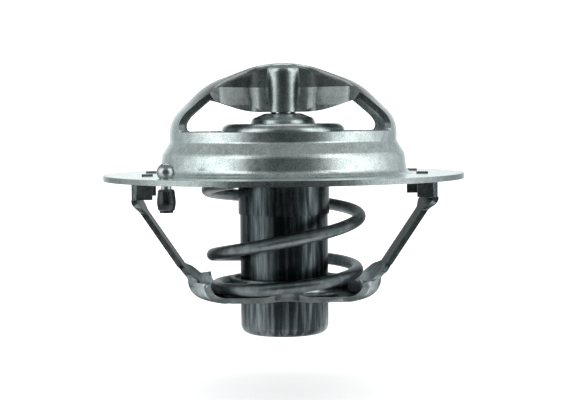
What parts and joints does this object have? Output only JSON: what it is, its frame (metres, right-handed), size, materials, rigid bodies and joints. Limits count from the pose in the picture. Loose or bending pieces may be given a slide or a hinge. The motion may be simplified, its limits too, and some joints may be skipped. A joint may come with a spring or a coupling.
{
  "type": "engine coolant thermostat",
  "caption": "Wax-element coolant thermostat: round flange with a domed, pinched bridge, sprung poppet valve, lower frame and jiggle pin.",
  "frame": {"origin": "on the valve's axis, at the underside of the flange", "axes": "+Z along the valve's axis towards the bridge; the bridge and the frame's arms span along X; Y points to the back window"},
  "size_m": [0.0544, 0.0544, 0.041],
  "materials": {
    "stainless": "satin",
    "stainless_valve": "satin",
    "frame_steel": "satin",
    "piston_steel": "polished",
    "spring_steel": "satin",
    "element_metal": "satin",
    "black_rubber": "matte",
    "wax": "matte",
    "washer_plastic": "matte",
    "pin_chrome": "polished",
    "dark_weight": "satin"
  },
  "bodies": {
    "housing": {"flange_bridge": "stainless", "lower_frame": "frame_steel", "piston": "piston_steel", "main_spring": "spring_steel"},
    "valve": {"valve_plate": "stainless_valve", "valve_ring": "black_rubber", "retaining_cap": "stainless_valve", "element_guide": "element_metal", "element_cup": "element_metal", "wax_charge": "wax", "rubber_boot": "black_rubber", "piston_seal": "black_rubber", "backup_washer": "washer_plastic"},
    "jiggle": {"jiggle_pin": "pin_chrome", "jiggle_weight": "dark_weight"}
  },
  "joints": [
    {"name": "valve_slide", "type": "slide", "parent": "housing", "child": "valve", "axis": [0, 0, -1], "range_m": [0, 0.008], "stiffness_N_per_m": 600, "springref_m": -0.005, "deforming": ["main_spring"]},
    {"name": "jiggle_slide", "type": "slide", "parent": "housing", "child": "jiggle", "axis": [0, 0, 1], "range_m": [0, 0.0005]}
  ]
}
